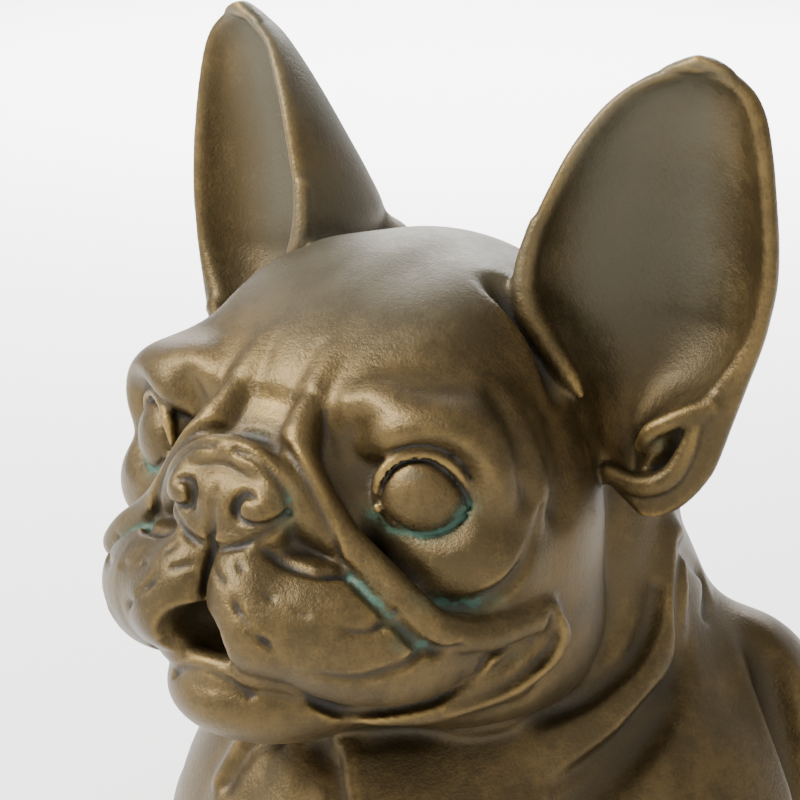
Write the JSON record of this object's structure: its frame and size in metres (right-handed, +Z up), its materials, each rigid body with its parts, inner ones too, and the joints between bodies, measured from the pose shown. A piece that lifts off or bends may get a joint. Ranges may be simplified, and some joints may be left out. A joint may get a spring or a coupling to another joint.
{
  "type": "bulldog garden statue bust",
  "caption": "Bust of a French bulldog with upright ears, wrinkled muzzle and folds at the neck, cut flat below to stand on a plinth or ledge.",
  "frame": {"origin": "on the flat underside, below the front of the skull, in the middle plane", "axes": "+Z up, the face looks along -Y, the dog's left is +X"},
  "size_m": [0.1936, 0.2196, 0.2444],
  "materials": {
    "bronze": "aged brown bronze, worn golden on the ridges and green in the creases"
  },
  "bodies": {
    "root": {"bulldog_bust": "bronze"}
  },
  "joints": []
}
